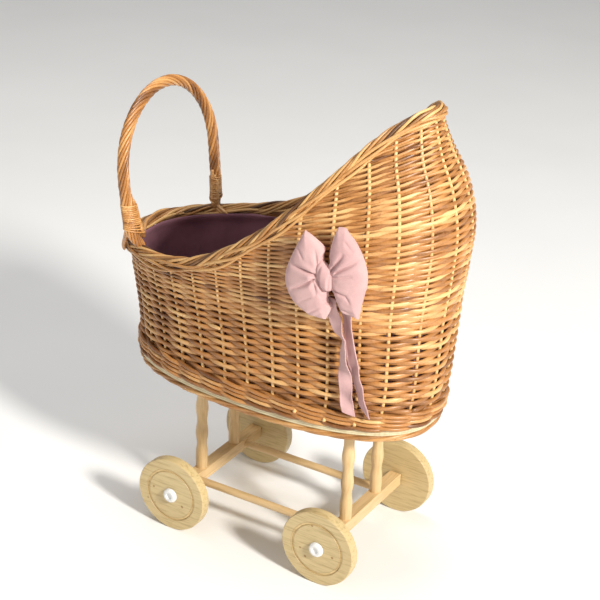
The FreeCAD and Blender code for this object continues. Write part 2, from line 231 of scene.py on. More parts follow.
class Rods:
    """Round rods gathered in one mesh."""

    def __init__(self, sides=8):
        self.sides = sides
        self.points = []
        self.faces = []
        self.tones = []
        self.count = 0

    def add(self, path, radius, tone, hint, closed=False, flat=1.0, ends=0.6):
        """A rod along a path. hint is a direction square to it, and flat squeezes it along that direction."""
        path = np.asarray(path, float)
        n = len(path)
        if closed:
            along = np.roll(path, -1, 0) - np.roll(path, 1, 0)
        else:
            along = np.gradient(path, axis=0)
        along = unit(along)
        hint = np.broadcast_to(np.asarray(hint, float), path.shape)
        side = unit(np.cross(along, hint))
        over = np.cross(side, along)
        radius = np.broadcast_to(np.asarray(radius, float), (n,)).copy()
        if not closed:
            radius[[0, -1]] *= ends
        turn = TURN * np.arange(self.sides) / self.sides
        ring = (np.cos(turn)[None, :, None] * side[:, None, :]
                + flat * np.sin(turn)[None, :, None] * over[:, None, :])
        points = path[:, None, :] + radius[:, None, None] * ring
        self.points.append(points.reshape(-1, 3))
        self.tones.append(np.repeat(np.broadcast_to(tone, (n,)), self.sides))
        k = np.arange(self.sides)
        nxt = (k + 1) % self.sides
        rows = np.arange(n if closed else n - 1)[:, None]
        a = rows * self.sides
        b = ((rows + 1) % n) * self.sides
        faces = np.stack([a + k, a + nxt, b + nxt, b + k], -1).reshape(-1, 4)
        self.faces.append(faces + self.count)
        if not closed:
            last = (n - 1) * self.sides
            caps = []
            for j in range(self.sides // 2 - 1):
                cap = np.array([j, self.sides - 1 - j, self.sides - 2 - j, j + 1])
                caps += [cap, last + cap[::-1]]
            self.faces.append(np.array(caps) + self.count)
        self.count += n * self.sides

    def make(self, name):
        return make_object(name, np.concatenate(self.points), np.concatenate(self.faces),
                           np.concatenate(self.tones))


def wobble(count, size, waves):
    """A smooth random line of some length, for the unevenness of hand work."""
    at = np.linspace(0, 1, count)
    line = np.zeros(count)
    for k in range(1, waves + 1):
        line += rng.normal() * np.sin(TURN * k * at + rng.uniform(0, TURN))
    return size * line / math.sqrt(waves)


def rod_tone(count, middle, spread, low, high, size, waves):
    """Tone of one rod, from dark 0 to light 1, with a smooth change along it."""
    return np.clip(rng.normal(middle, spread), low, high) + wobble(count, size, waves)


def grid_faces(rows, columns, closed):
    """Faces of a grid of points, rows by columns, joined round its columns when closed."""
    r = np.arange(rows - 1)[:, None]
    c = np.arange(columns if closed else columns - 1)[None, :]
    nxt = (c + 1) % columns
    return np.stack([r * columns + c, r * columns + nxt, (r + 1) * columns + nxt,
                     (r + 1) * columns + c], -1).reshape(-1, 4)


# ---------------------------------------------------------------- materials
WHITE = (1, 1, 1)


class Look:
    """A node material on the object's own coordinates."""

    def __init__(self, name):
        self.material = bpy.data.materials.new(name)
        self.material.use_nodes = True
        self.nodes = self.material.node_tree.nodes
        self.shader = next(n for n in self.nodes if n.type == "BSDF_PRINCIPLED")
        self.place = self.nodes.new("ShaderNodeTexCoord").outputs["Object"]

    def feed(self, node, inputs):
        """Sets a node's inputs to numbers, vectors or colours, or links other sockets to them."""
        for key, value in inputs.items():
            socket = node.inputs[key]
            if isinstance(value, bpy.types.NodeSocket):
                self.material.node_tree.links.new(value, socket)
            elif socket.type == "RGBA":
                socket.default_value = (*value, 1)
            else:
                socket.default_value = value
        return self.material

    def node(self, kind, inputs, output, **settings):
        node = self.nodes.new("ShaderNode" + kind)
        for key, value in settings.items():
            setattr(node, key, value)
        self.feed(node, inputs)
        return node.outputs[output]

    def noise(self, scale, detail=4.0, stretch=None, rough=0.5, distort=0.0):
        """Noise, which may be stretched by a scale on each axis and then turned."""
        source = self.place
        if stretch is not None:
            turned = (*stretch[3:], 0, 0, 0)[:3]
            source = self.node("Mapping", {"Vector": source, "Scale": stretch[:3],
                                           "Rotation": turned}, "Vector")
        return self.node("TexNoise", {"Vector": source, "Scale": scale, "Detail": detail,
                                      "Roughness": rough, "Distortion": distort}, "Fac")

    def wave(self, direction, scale, distortion, detail_scale=1.0):
        return self.node("TexWave", {"Vector": self.place, "Scale": scale, "Distortion": distortion,
                                     "Detail Scale": detail_scale}, "Fac", bands_direction=direction)

    def math(self, kind, *values):
        return self.node("Math", dict(enumerate(values)), 0, operation=kind)

    def multiply(self, share, a, b):
        """One colour multiplied by another, to a share."""
        return self.node("Mix", {"Factor": share, "A": a, "B": b}, "Result",
                         data_type="RGBA", blend_type="MULTIPLY")

    def distance(self, a, b):
        return self.node("VectorMath", {0: a, 1: b}, "Value", operation="DISTANCE")

    def ramp(self, source, *stops):
        """Colours by a source's value, from stops that each give a value and a colour."""
        ramp = self.nodes.new("ShaderNodeValToRGB")
        while len(ramp.color_ramp.elements) < len(stops):
            ramp.color_ramp.elements.new(0.5)
        for element, (place, colour) in zip(ramp.color_ramp.elements, stops):
            element.position = place
            element.color = (*colour, 1)
        self.feed(ramp, {"Fac": source})
        return ramp.outputs["Color"]

    def finish(self, colour, rough, greys, bump, depth, strength, places=(0.3, 0.7), **values):
        """Colour, roughness between two greys by a source, bump by a depth in millimetres, and the rest."""
        grey = self.ramp(rough, *((place, (value,) * 3) for place, value in zip(places, greys)))
        normal = self.node("Bump", {"Height": bump, "Distance": depth * MM, "Strength": strength}, "Normal")
        self.feed(self.shader, {"Base Color": colour, "Roughness": grey, "Normal": normal})
        return self.feed(self.shader, {key.replace("_", " "): value for key, value in values.items()})


def willow_material(name, dark, middle, light, roughness=0.42, coat=0.25):
    """Peeled willow under varnish: each rod has its own tone, with stains and fine marks along it."""
    look = Look(name)
    tone = look.node("Attribute", {}, "Fac", attribute_name="tone")
    fine = look.noise(420.0, 3.0)
    stains = look.math("MULTIPLY_ADD", look.noise(34.0, 3.0), 0.55, -0.27)
    marks = look.math("MULTIPLY_ADD", fine, 0.3, -0.15)
    total = look.math("ADD", look.math("ADD", tone, stains), marks)
    colour = look.ramp(total, (0.0, dark), (0.5, middle), (1.0, light))
    spots = look.ramp(look.noise(150.0, 2.0), (0.66, WHITE), (0.76, (0.62, 0.5, 0.4)))
    return look.finish(look.multiply(0.7, colour, spots), fine, (roughness - 0.08, roughness + 0.12),
                       fine, 0.25, 0.6, (0.2, 0.8), Coat_Weight=coat, Coat_Roughness=0.28)


def pine_material(name, light, line, stretch, knots=(), plane_y=0.0, ring=None):
    """Pale pine: long fine grain along one direction, small knots at named places, and on the turned groove
    painted shadow lines at its edges with a painted highlight between them.
    """
    look = Look(name)
    grain = look.noise(1.0, 5.0, stretch, 0.62, 0.25)
    colour = look.ramp(grain, (0.34, line), (0.5, light), (0.72, tuple(1.06 * v for v in light)))
    tint = look.ramp(look.noise(14.0, 2.0), (0.3, (0.93, 0.9, 0.86)), (0.7, WHITE))
    colour = look.multiply(1.0, colour, tint)
    for x, z, size in knots:
        away = look.distance(look.place, (x * MM, plane_y * MM, z * MM))
        reach = look.math("MULTIPLY_ADD", look.noise(300.0, 2.0), 2.2 * MM, (size - 1.1) * MM)
        spot = look.ramp(look.math("DIVIDE", away, reach),
                         (0.35, (0.42, 0.3, 0.2)), (0.6, (0.72, 0.58, 0.42)), (1.0, WHITE))
        colour = look.multiply(1.0, colour, spot)
    if ring is not None:
        flat = look.node("VectorMath", {0: look.place, 1: (1, 0, 1)}, "Vector", operation="MULTIPLY")
        away = look.distance(flat, (ring[0] * MM, 0, ring[1] * MM))
        # painted shade and light on the turned groove: darker lines at its edges for their shadows, paler
        # between them for its lit floor
        groove_shadow = (0.7, 0.63, 0.54)
        pale = (1.3, 1.27, 1.2)
        band = look.ramp(look.math("MULTIPLY", away, 1 / (WHEEL_R * MM)),
                         (RING_IN - 0.022, WHITE), (RING_IN, groove_shadow), (RING_IN + 0.02, pale),
                         (RING_OUT - 0.03, pale), (RING_OUT, groove_shadow), (RING_OUT + 0.022, WHITE))
        y = look.node("SeparateXYZ", {0: look.place}, "Y")
        depth = look.math("ABSOLUTE", look.math("SUBTRACT", y, plane_y * MM))
        outside = look.math("LESS_THAN", depth, RING_DEPTH * MM)
        colour = look.multiply(look.math("MULTIPLY", outside, 0.7), colour, band)
    return look.finish(colour, grain, (0.5, 0.4), grain, 0.12, 0.5, Coat_Weight=0.12, Coat_Roughness=0.35)


def cotton_material(name, base, deep, sheen=0.35):
    """Brushed cotton: a fine plain weave with soft uneven dye."""
    look = Look(name)
    lint = look.noise(900.0, 2.0)
    colour = look.ramp(look.noise(28.0), (0.3, deep), (0.62, base))
    speck = look.ramp(lint, (0.35, (0.93, 0.92, 0.92)), (0.65, WHITE))
    threads = [look.wave(direction, COTTON_THREADS / TURN, 0.6, 2.0) for direction in "XZ"]
    height = look.math("ADD", look.math("ADD", *threads), lint)
    return look.finish(look.multiply(1.0, colour, speck), lint, (0.82, 0.94), height, 0.12, 0.5,
                       Sheen_Weight=sheen, Sheen_Roughness=0.45, Sheen_Tint=(1.0, 0.86, 0.86))


def plastic_material(name):
    look = Look(name)
    fine = look.noise(260.0, 3.0)
    colour = look.ramp(fine, (0.3, (0.7, 0.7, 0.69)), (0.7, (0.8, 0.8, 0.79)))
    return look.finish(colour, fine, (0.2, 0.3), fine, 0.05, 0.4)


def steel_material(name):
    look = Look(name)
    brushed = look.noise(1.0, 4.0, (900, 60, 900))
    colour = look.ramp(brushed, (0.3, (0.5, 0.5, 0.51)), (0.7, (0.66, 0.66, 0.67)))
    return look.finish(colour, brushed, (0.28, 0.42), brushed, 0.04, 0.4, Metallic=1.0)


def plywood_material(name):
    """Birch plywood: pale faces, and thin level plies at its edge."""
    look = Look(name)
    grain = look.noise(1.0, 4.0, (25, 420, 60))
    plies = look.wave("Z", 0.9 / (2 * PLY * MM) / 1.9, 0.4)
    face = look.ramp(grain, (0.3, (0.56, 0.47, 0.29)), (0.6, (0.68, 0.6, 0.41)))
    edge = look.ramp(plies, (0.25, (0.74, 0.66, 0.5)), (0.7, WHITE))
    return look.finish(look.multiply(0.8, face, edge), grain, (0.5, 0.62), grain, 0.1, 0.4)


COTTON_THREADS = 2600.0    # per metre
PLY = 1.75                 # thickness of one ply
PINE = (0.68, 0.48, 0.25)
PINE_LINE = (0.58, 0.4, 0.19)
WHEEL_LIGHT = (0.61, 0.475, 0.245)
WHEEL_LINE = (0.47, 0.345, 0.16)
WHEEL_R = 50.0
RING_IN = 33.0 / WHEEL_R   # edges of the turned ring, as shares of the radius
RING_OUT = 36.5 / WHEEL_R
RING_DEPTH = 3.0           # the groove's painted shadow lines and highlight go on the outer face only
willow = willow_material("willow", (0.15, 0.052, 0.012), (0.47, 0.205, 0.056), (0.78, 0.49, 0.205))
willow_border = willow_material(
    "willow_border", (0.11, 0.044, 0.014), (0.46, 0.212, 0.062), (0.76, 0.475, 0.19))
willow_handle = willow_material(
    "willow_handle", (0.14, 0.048, 0.014), (0.5, 0.215, 0.055), (0.78, 0.46, 0.18), 0.36, 0.4)
bow_cotton = cotton_material("bow_cotton", (0.61, 0.39, 0.38), (0.53, 0.315, 0.315))
# the lining and mattress are dusty pink cloth like the bow; their dark plum colour is painted shade inside
# the basket
shaded_lining_cotton = cotton_material("shaded_lining_cotton", (0.27, 0.12, 0.155), (0.19, 0.078, 0.108), 0.15)
plastic = plastic_material("white_plastic")
steel = steel_material("zinc_steel")
plywood = plywood_material("birch_plywood")
pine_along = pine_material("pine_along", PINE, PINE_LINE, (26, 300, 300))
pine_across = pine_material("pine_across", PINE, PINE_LINE, (300, 26, 300))
pine_upright = pine_material("pine_upright", PINE, PINE_LINE, (300, 300, 26))
# knots on each wheel: place from its centre along and up, and size
KNOTS = {
    "wheel_foot_near": ((-26.3, 4.2, 2.0), (17.7, -11.7, 2.2), (-36.0, -15.9, 1.6), (-24.9, -19.5, 1.5)),
    "wheel_head_near": ((-7.7, 30.7, 1.7), (-23.4, -5.7, 2.0), (-15.8, -16.0, 2.3), (22.2, -4.3, 2.4)),
    "wheel_foot_far": ((12.0, 24.0, 2.0),),
    "wheel_head_far": ((-21.0, 17.0, 1.9), (15.0, -26.0, 2.2)),
}
for name, knots in KNOTS.items():
    low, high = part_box(name)
    centre_x = (low.x + high.x) / 2 / MM
    centre_z = (low.z + high.z) / 2 / MM
    outer_y = (low.y if low.y < 0 else high.y) / MM
    places = [(centre_x + x, centre_z + z, size) for x, z, size in knots]
    tilt = 0.18 if "near" in name else -0.5
    made = pine_material("pine_" + name, WHEEL_LIGHT, WHEEL_LINE, (34, 200, 430, 0, tilt, 0), places, outer_y,
                         (centre_x, centre_z))
    NODES[name].data.materials.clear()
    NODES[name].data.materials.append(made)

LOOKS = {
    "hub_cap": plastic, "wheel_pin": steel, "axle_washers": steel, "post_screws": steel,
    "rail": pine_along, "foot_beam": pine_across, "head_beam": pine_across,
    "post_foot": pine_upright, "post_head": pine_upright, "base_board": plywood,
}
for name, node in NODES.items():
    for start, material in LOOKS.items():
        if name.startswith(start):
            node.data.materials.clear()
            node.data.materials.append(material)

# ---------------------------------------------------------------- woven wall
UP = np.array([0.0, 0.0, 1.0])
ROD_SHARE = 0.46           # a rod's radius, of the pitch of the rows
HOOD_ROD_SHARE = 0.49
STAKE_R = 2.2
ROW_WOBBLE = 0.18
WEAVE_OUT = 3.0
HOOD_WEAVE_OUT = 1.8       # the hood is woven tighter, so that no light comes through
HOOD_ROD_TALL = 1.52
ROD_TALL = 1.3             # rods pressed together are taller than thick
SAMPLES = 10               # points of a rod between two stakes
TOP_LEVEL = 530.0          # above the last row that still meets the hood
ROWS_INTO_BORDER = 3.0     # rows run on into the border, past its centre line
ROD_STAKES = (11, 19)      # a rod passes this many stakes before the next one takes over
ROD_TAPER = (1.07, 0.94)   # butt and tip


def row_height(level, angle):
    """Height of a row at angles round the basket."""
    slope = smooth(ROW_SLOPE, level, 1)
    z = np.full_like(angle, level, dtype=float)
    for _ in range(6):
        z = level + slope * plan_point(angle, z)[..., 0]
    return z


def rows_between(level, high, rods, odd, reach_out, share, tall):
    """Plain randing: single rods that pass each stake on alternate sides, row on row."""
    while level < high:
        pitch = float(smooth(ROW_PITCH, level, 1))
        start = int(rng.integers(0, STAKES))
        count = np.arange(start * SAMPLES, (start + STAKES) * SAMPLES + 1) / SAMPLES
        angle = angle_at(count)
        z = row_height(level, angle)
        under = mouth_height(angle) + ROWS_INTO_BORDER - z
        spread = (row_height(level + 2, angle) - row_height(level - 2, angle)) / 4
        z = z + wobble(len(count), ROW_WOBBLE, 9)
        swing = np.cos(math.pi * count) * (-1) ** odd
        swing = np.sign(swing) * np.abs(swing) ** 1.05
        inside = under > 0
        begin = 0
        while begin < len(count) - SAMPLES:
            if not inside[begin]:
                begin += 1
                continue
            stop = begin
            reach = int(rng.integers(*ROD_STAKES)) * SAMPLES
            while stop < len(count) - 1 and inside[stop] and stop - begin < reach:
                stop += 1
            # a rod ends behind a stake, on the inner side
            while stop < len(count) - 1 and inside[stop] and swing[stop] > -0.98:
                stop += 1
            # what is left of the row is too short for a rod of its own
            while stop < len(count) - 1 and inside[stop] and len(count) - 1 - stop <= 2 * SAMPLES:
                stop += 1
            part = slice(begin, stop + 1)
            if stop - begin > 4:
                taper = np.linspace(*ROD_TAPER, stop - begin + 1)
                if rng.random() < 0.5:
                    taper = taper[::-1]
                pinch = 1.06 - 0.3 * np.clip(swing[part], 0, 1) ** 3
                size = share * pitch * spread[part] * taper * pinch
                out = swing[part] * reach_out
                path = plan_point(angle[part], z[part], out)
                tone = rod_tone(stop - begin + 1, 0.5, 0.2, 0.08, 1.0, 0.07, 6)
                # painted light and shade: each rod is lighter where it passes outside a stake, with painted
                # shade where it dips in behind one
                tone = tone + 0.1 * swing[part] - 0.06
                rods.add(path, size, tone, UP, flat=tall)
            begin = stop + 1
        odd = 1 - odd
        level += pitch
    return level, odd


lower_rods = Rods()
level = WALE_TOP + ROW_PITCH[0, 1] / 2
level, odd = rows_between(level, WEAVE_SPLIT, lower_rods, 0, WEAVE_OUT, ROD_SHARE, ROD_TALL)
weave_lower = dress(lower_rods.make("weave_lower"), willow)
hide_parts("lower_weave")
hood_rods = Rods()
rows_between(level, TOP_LEVEL, hood_rods, odd, HOOD_WEAVE_OUT, HOOD_ROD_SHARE, HOOD_ROD_TALL)
weave_hood = dress(hood_rods.make("weave_hood"), willow)
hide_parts("hood_weave")

stakes = Rods()
for k in range(STAKES):
    count = k + rng.uniform(-0.05, 0.05)
    angle = float(angle_at(count))
    top = float(mouth_height(angle))
    z = np.linspace(BOARD_BOTTOM - 5, top - 1, max(10, int((top - 205) / 6)))
    stakes.add(plan_point(np.full_like(z, angle), z, wobble(len(z), 0.25, 5)), STAKE_R,
               rng.uniform(0.8, 1.1), plan_normal(angle, 300.0)[1])
dress(stakes.make("stakes"), willow)

# three-rod wale above the board: each rod passes outside two stakes and inside the third
wale = Rods()
WALE_ROWS = 4
WALE_PITCH = (WALE_TOP - BOARD_TOP) / WALE_ROWS
WALE_R = 2.55
WALE_SWING = 4.3           # how far its rods move out and in, and up and down
WALE_LIFT = 1.5
CUT_STAKES = ((-1.33, 226.0), (-1.126, 223.0), (-0.901, 223.0))
count = np.arange(STAKES * SAMPLES) / SAMPLES
for row in range(WALE_ROWS):
    for strand in range(3):
        step = TURN * (count + strand + row) / 3
        lowest = float(row == 0)
        out = 1.4 + 0.8 * lowest - WALE_SWING * np.cos(step)
        z = BOARD_TOP + WALE_PITCH * (row + 0.5) + WALE_LIFT * np.sin(step) + wobble(len(count), 0.3, 8)
        z = z + 0.3 * lowest * np.minimum(0, np.cos(step))
        tone = rod_tone(len(count), 0.45, 0.2, 0.1, 0.9, 0.12, 9)
        wale.add(plan_point(angle_at(count), z, out), WALE_R, tone, UP, closed=True)
for angle, z in CUT_STAKES:
    # cut ends of short stakes, standing out of the wale
    start = plan_point(angle, z + 4, 0.0)
    end = plan_point(angle + 0.012, z, 8.2)
    path = start + (end - start) * np.linspace(0, 1, 5)[:, None]
    wale.add(path, 2.3, 1.05, UP, ends=0.85)
wale_rods = dress(wale.make("wale"), willow)
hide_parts("bottom_wale")

# rolled border under the board: long rods that twist round each other
foot = Rods()
FOOT_RODS = 4
FOOT_R = 2.5
FOOT_LAY = 3.75            # stakes passed in one full twist
for strand in range(FOOT_RODS):
    step = TURN * (count / FOOT_LAY + strand / FOOT_RODS)
    out = 2.9 * np.cos(step) + 0.6
    z = FOOT_BORDER_Z + 2.3 * np.sin(step) - 0.2
    tone = rod_tone(len(count), 0.5, 0.12, 0.1, 0.9, 0.12, 9)
    foot.add(plan_point(angle_at(count), z, out), FOOT_R, tone, UP, closed=True)
foot_rods = dress(foot.make("board_border"), willow_border)
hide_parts("foot_border")

# ---------------------------------------------------------------- braided border of the mouth and hood
BORDER_POINTS = 420
around = angle_at(np.arange(BORDER_POINTS) * STAKES / BORDER_POINTS)
border_z = mouth_height(around)
border_line = plan_point(around, border_z)
for _ in range(4):
    border_line = (np.roll(border_line, 1, 0) + 2 * border_line + np.roll(border_line, -1, 0)) / 4
border_along = unit(np.roll(border_line, -1, 0) - np.roll(border_line, 1, 0))
border_out = plan_normal(around, border_z)[1]
border_out = unit(border_out - border_along * (border_out * border_along).sum(1, keepdims=True))
border_up = np.cross(border_along, border_out) * -1
border_up *= np.sign(border_up[:, 2:3] + 1e-9)
border_place = distance_along(border_line) / steps(border_line, closed=True).sum()


def border_rod(rods, out, up, radius, tone):
    path = border_line + border_out * out[:, None] + border_up * up[:, None]
    rods.add(path, radius, tone, border_out, closed=True)


rim = Rods()
RIM_ROD_R = 1.9
PLAIT_REACH = 5.6          # from the border's centre line to the rods of a bundle
PLAIT_TURNS = 8
LONG_ROD_WAVES = 11
hood_share = np.clip((border_z - 430) / 90, 0, 1)
for bundle in range(3):
    for rod in range(3):
        step = TURN * (border_place * PLAIT_TURNS + bundle / 3) + 0.7 * (rod - 1)
        step = step + wobble(BORDER_POINTS, 0.08, 21)
        reach = PLAIT_REACH - 0.9 * (rod == 1) + wobble(BORDER_POINTS, 0.6, 23)
        lift = wobble(BORDER_POINTS, 0.35, 19)
        size = RIM_ROD_R * rng.uniform(0.88, 1.1)
        border_rod(rim, reach * np.cos(step), 1.05 * reach * np.sin(step) - 0.3 + lift, size,
                   rod_tone(BORDER_POINTS, 0.5, 0.26, 0.0, 1.0, 0.14, 12))
for side, rows in ((1, 3), (-1, 1)):
    for rod in range(rows):
        # long rods that run beside the plait, over the ends of the rows
        wave = border_place * LONG_ROD_WAVES + rod / rows
        out = side * (6.1 - 0.5 * rod + 1.4 * np.sin(TURN * wave))
        up = -2.0 - 3.8 * rod + 2.4 * np.sin(TURN * (wave + 0.25))
        up = up * (1 - 0.38 * hood_share)
        border_rod(rim, out, up, RIM_ROD_R, rod_tone(BORDER_POINTS, 0.5, 0.22, 0.0, 1.0, 0.12, 12))
rim_rods = dress(rim.make("rim_plait"), willow_border)
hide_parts("rim_border")


# ---------------------------------------------------------------- handle
def curve(corners, first, at):
    """Smooth line through corners, at places counted in corners; first is the corner before its start."""
    i = at.astype(int)
    t = (at - i)[:, None]
    p0, p1, p2, p3 = (corners[(i + first + k) % len(corners)] for k in range(4))
    return 0.5 * (2 * p1 + (p2 - p0) * t + (2 * p0 - 5 * p1 + 4 * p2 - p3) * t ** 2
                  + (3 * p1 - p0 - 3 * p2 + p3) * t ** 3)


def through(corners, count):
    """Smooth open line through corners."""
    corners = np.array(corners, float)
    ends = 2 * corners[[0, -1]] - corners[[1, -2]]
    corners = np.vstack([ends[:1], corners, ends[1:]])
    return curve(corners, 0, np.linspace(0, len(corners) - 3 - 1e-6, count))


def handle_x(z):
    return HANDLE_X + HANDLE_LEAN * (z - HANDLE_REF_Z)


def leg_y(z):
    share = np.clip((z - HANDLE_FOOT_Z) / (HANDLE_SPRING_Z - HANDLE_FOOT_Z), 0, 1)
    return HANDLE_FOOT_Y + (HANDLE_SPRING_Y - HANDLE_FOOT_Y) * np.sin(share * math.pi / 2)


LEG_END_Z = 367.0          # the strands end inside the border's plait
leg_z = np.linspace(LEG_END_Z, HANDLE_SPRING_Z, 36, endpoint=False)
arch = np.linspace(0, math.pi, 110)
arch_y = -HANDLE_SPRING_Y * np.cos(arch)
arch_z = HANDLE_SPRING_Z + (HANDLE_TOP_Z - HANDLE_SPRING_Z) * np.sin(arch)
line_y = np.concatenate([-leg_y(leg_z), arch_y, leg_y(leg_z[::-1])])
line_z = np.concatenate([leg_z, arch_z, leg_z[::-1]])
handle_line = np.stack([handle_x(line_z), line_y, line_z], -1)
FOOT_SQUEEZE = 10.5        # the feet bend in, to meet the border
squeeze = FOOT_SQUEEZE * np.clip((395 - line_z) / 21, 0, 1) ** 1.2
handle_line[:, 0] += squeeze * math.cos(INSERT_TURN)
handle_line[:, 1] -= squeeze * math.sin(INSERT_TURN) * np.sign(line_y)
handle_along = unit(np.gradient(handle_line, axis=0))
handle_side = unit(np.array([1.0, 0, -HANDLE_LEAN]))
handle_over = unit(np.cross(handle_along, handle_side))
handle_side = np.cross(handle_over, handle_along)
handle_place = distance_along(handle_line)
STRANDS = 9
STRAND_R = 1.78
STRAND_CENTRE = HANDLE_R - STRAND_R
# radius of the core inside the strands, which is painted shade
SHADE_CORE_R = 3.9
LAY = 98.0                 # length of one full twist
rope = Rods()
for strand in range(STRANDS):
    step = TURN * (strand / STRANDS - handle_place / LAY)
    radial = handle_over * np.cos(step)[:, None] + handle_side * np.sin(step)[:, None]
    centre = (STRAND_CENTRE + wobble(len(step), 0.14, 9)) * (1 - 0.3 * np.clip((388 - line_z) / 20, 0, 1))
    rope.add(handle_line + radial * centre[:, None], STRAND_R * rng.uniform(0.93, 1.1),
             rod_tone(len(step), 0.55, 0.27, 0.1, 1.0, 0.08, 7), radial)
# a core of the darkest tone inside the strands: painted shade that shows in the gaps between them
rope.add(handle_line, SHADE_CORE_R, 0.0, handle_side)
# two strands of the near leg sweep down outside the border, to a point
for k in range(2):
    path = through(((-182 + 3 * k, -94.5, 404), (-185.5 + 3.4 * k, -94.5 - 0.6 * k, 394),
                    (-193.5 + 3.6 * k, -86.5 - 2 * k, 382), (-206 + 3.2 * k, -73.5 - 2.6 * k, 364),
                    (-212.5 + 4 * k, -63 - 4 * k, 350 + 3 * k)), 40)
    rope.add(path, 2.0 * np.clip(np.linspace(6, 0.3, 40), 0, 1), rng.uniform(0.5, 0.8), UP)
handle_rope = dress(rope.make("handle_rope"), willow_handle)
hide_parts("handle")


def inward(side):
    return np.array([math.cos(INSERT_TURN), -side * math.sin(INSERT_TURN), 0])


def leg_point(side, z, inside):
    z = np.asarray(z, float)
    point = np.stack([handle_x(z), side * leg_y(z), z], -1)
    return point + inward(side) * np.asarray(inside)[..., None]


def insert_gap(z, top):
    share = (z - INSERT_BOTTOM_Z) / (top - INSERT_BOTTOM_Z)
    return INSERT_BOTTOM_IN + (INSERT_TOP_IN - INSERT_BOTTOM_IN) * share


WRAP_R = 1.15
WRAP_PITCH = 2.7
TUCK_R = 2.3
LAST_TURNS = 0.24          # the last share of the turns slants down towards the inside
SLANT = 5.5
TIGHT = 2.6                # the wrapping pulls the rods closer than they stand below it
# where the rods of each foot run on, from the binding's foot along the inside of the border
TUCK_ENDS = {
    "near": ((-186.0, -58.0, 377.5), (-198.0, -40.0, 376.5), (-209.0, -20.0, 374.5), (-216.0, 8.0, 372.0)),
    "far": ((-169.0, 80.0, 371.0), (-162.0, 79.0, 366.5), (-157.0, 78.5, 364.5), (-152.0, 78.0, 363.0)),
}

for name, side in (("near", -1), ("far", 1)):
    low, high, top = BINDING_Z[name]
    wraps = Rods(6)
    square = np.array([-inward(side)[1], inward(side)[0], 0])
    turns = int(round((high - low) / WRAP_PITCH))
    step = np.linspace(0, TURN * turns, turns * 28)
    share = step / step[-1]
    # the winding starts at the top, and its last turns lean
    lean = np.clip((share - 1 + LAST_TURNS) / LAST_TURNS, 0, 1) ** 1.3
    level = high - WRAP_R - (high - low - 2 * WRAP_R - 3) * share - SLANT * lean * (0.55 + 0.6 * np.cos(step))
    gap = insert_gap(level, top) - TIGHT
    reach = (HANDLE_R + gap + INSERT_R) / 2 - 0.1 + 1.1 * lean
    across = HANDLE_R - 0.15 + 0.9 * lean
    centre = leg_point(side, level, (gap + INSERT_R - HANDLE_R) / 2)
    ring = inward(side) * (np.cos(step) * reach)[:, None] + square * (np.sin(step) * across)[:, None]
    wraps.add(centre + ring, WRAP_R, 0.68 + wobble(len(step), 0.2, 40), UP)
    made = dress(wraps.make("binding_" + name), willow_handle)
    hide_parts("handle_binding_" + name)

    # three rods of the handle's foot that come down inside the border and run off along it
    tucks = Rods()
    for k in range(3):
        z = np.linspace(top - 1 - 6 * k, low + 1, 6)
        shift = square * side * (3.0 * (k - 1))
        path = leg_point(side, z, insert_gap(z, top) - TIGHT + 0.5 * (k - 1)) + shift
        tail = [np.array(place) + shift * 0.25 + np.array([0, 0, 3.9 * (k - 1)]) for place in TUCK_ENDS[name]]
        path = through(np.vstack([path, tail[:2 + (k > 0) + (k > 1)]]), 60)
        size = TUCK_R * np.clip(np.linspace(1.0, 6.0, 60), 0, 1.05) * np.clip(np.linspace(7, 0.25, 60), 0, 1)
        tucks.add(path, size, rng.uniform(0.5, 0.95), square)
    made = dress(tucks.make("handle_tuck_" + name), willow_handle)
    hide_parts("handle_insert_" + name)

# ---------------------------------------------------------------- lining and mattress
LINING_OUT = -(WALL_HALF + 2.2)
LINING_UNDER_BORDER = 2.8  # the hem lies on the inner side of the border
SKIN = 0.9
FOLDS = 22


def shell(outer, inner, closed_round, pillow=False):
    """A thin closed sheet from two matching grids, rows by columns; a pillow is joined at row 0 only."""
    rows, columns = outer.shape[:2]
    points = np.concatenate([outer.reshape(-1, 3), inner.reshape(-1, 3)])
    faces = grid_faces(rows, columns, closed_round)
    other = faces[:, ::-1] + rows * columns
    c = np.arange(columns if closed_round else columns - 1)
    nxt = (c + 1) % columns
    base = rows * columns
    top = (rows - 1) * columns
    rims = [np.stack([nxt, c, c + base, nxt + base], -1)]
    if not pillow:
        rims.append(np.stack([top + c, top + nxt, top + nxt + base, top + c + base], -1))
    if not closed_round:
        r = np.arange(rows - 1) * columns
        e = r + columns - 1
        rims += [np.stack([r, r + columns, r + columns + base, r + base], -1),
                 np.stack([e + columns, e, e + base, e + columns + base], -1)]
    return points, np.concatenate([faces, other, *rims])


COLUMNS = 300
ROWS = 44
lining_angle = angle_at(np.arange(COLUMNS) * STAKES / COLUMNS)
lining_mouth = mouth_height(lining_angle)
lining_top = np.minimum(LINING_TOP, lining_mouth - LINING_UNDER_BORDER)
share = np.linspace(0, 1, ROWS)[:, None]
lining_z = LINING_FLOOR + 3 + (lining_top[None, :] - LINING_FLOOR - 3) * share
angles = np.broadcast_to(lining_angle, lining_z.shape)
ripple = np.zeros_like(lining_z)
for _ in range(FOLDS):
    at = rng.uniform(0, TURN)
    wide = rng.uniform(0.03, 0.09)
    lean = rng.uniform(-0.12, 0.12)
    off = (angles - at - lean * (share - 0.5) + math.pi) % TURN - math.pi
    fade = np.sin(math.pi * np.clip(share * 1.1, 0, 1)) ** 0.7
    ripple += rng.uniform(-1.2, 0.5) * np.exp(-(off / wide) ** 2) * fade
hem = 0.5 * np.exp(-((share - 0.93) / 0.012) ** 2)
over = np.clip((lining_z - lining_mouth + 16) / 9, 0, 1)
lining_out = LINING_OUT + np.minimum(ripple, 0.4) - 4.2 * over * over * (3 - 2 * over)
lining_outer = plan_point(angles, lining_z, lining_out - hem)
